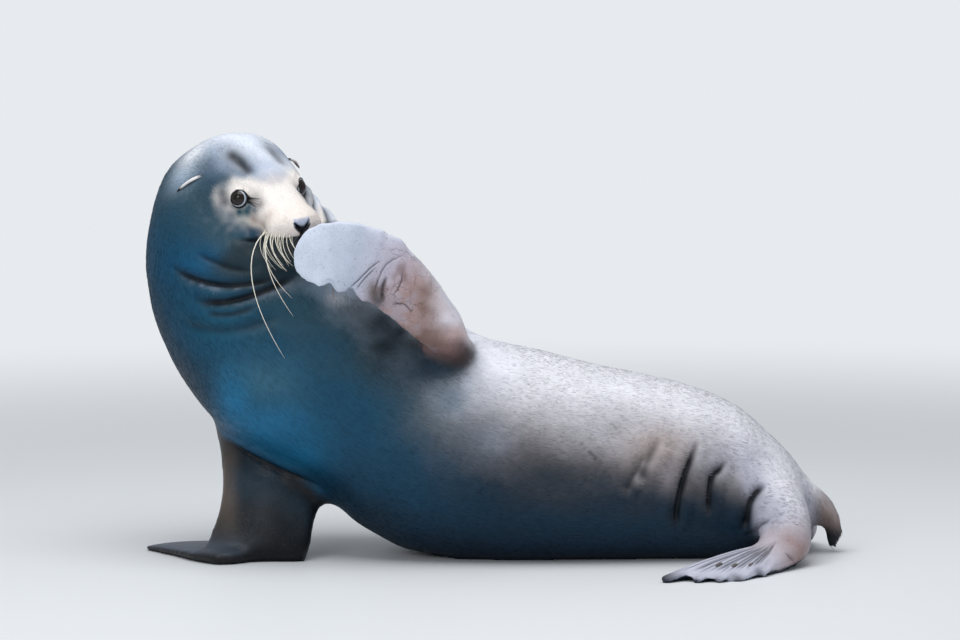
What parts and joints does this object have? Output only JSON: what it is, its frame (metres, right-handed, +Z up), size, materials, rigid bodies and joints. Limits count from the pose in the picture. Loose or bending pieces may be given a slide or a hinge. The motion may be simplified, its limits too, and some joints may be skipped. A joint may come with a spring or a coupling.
{
  "type": "still model of a sea lion",
  "caption": "Life-size still model of a sea lion lying on its belly, chest raised on one fore flipper, looking back and holding the other fore flipper up to its mouth.",
  "frame": {"origin": "middle of the flat of the belly, on the floor", "axes": "+X from the chest towards the tail, +Y towards the animal's right side, +Z up"},
  "size_m": [1.2632, 0.66, 0.7603],
  "materials": {
    "wet_coat": "short wet fur lying flat, satin sheen",
    "face_coat": "pale short fur, half dry, satin",
    "bare_skin": "bare wrinkled flipper skin, damp",
    "nose_skin": "bare grained nose pad, damp",
    "eyeball": "dark brown, wet and glossy",
    "claw": "dark horn, smooth"
  },
  "bodies": {
    "root": {"trunk": "wet_coat", "neck": "wet_coat", "head": "face_coat", "lower_jaw": "face_coat", "nose": "nose_skin", "tail": "wet_coat", "fore_flipper_left": "bare_skin", "fore_flipper_right": "bare_skin", "hind_flipper_left": "bare_skin", "hind_flipper_right": "bare_skin", "eye_left": "eyeball", "eye_right": "eyeball", "ear_left": "wet_coat", "ear_right": "wet_coat", "claw_left_2": "claw", "claw_left_3": "claw", "claw_left_4": "claw", "claw_right_2": "claw", "claw_right_3": "claw", "claw_right_4": "claw"}
  },
  "joints": []
}
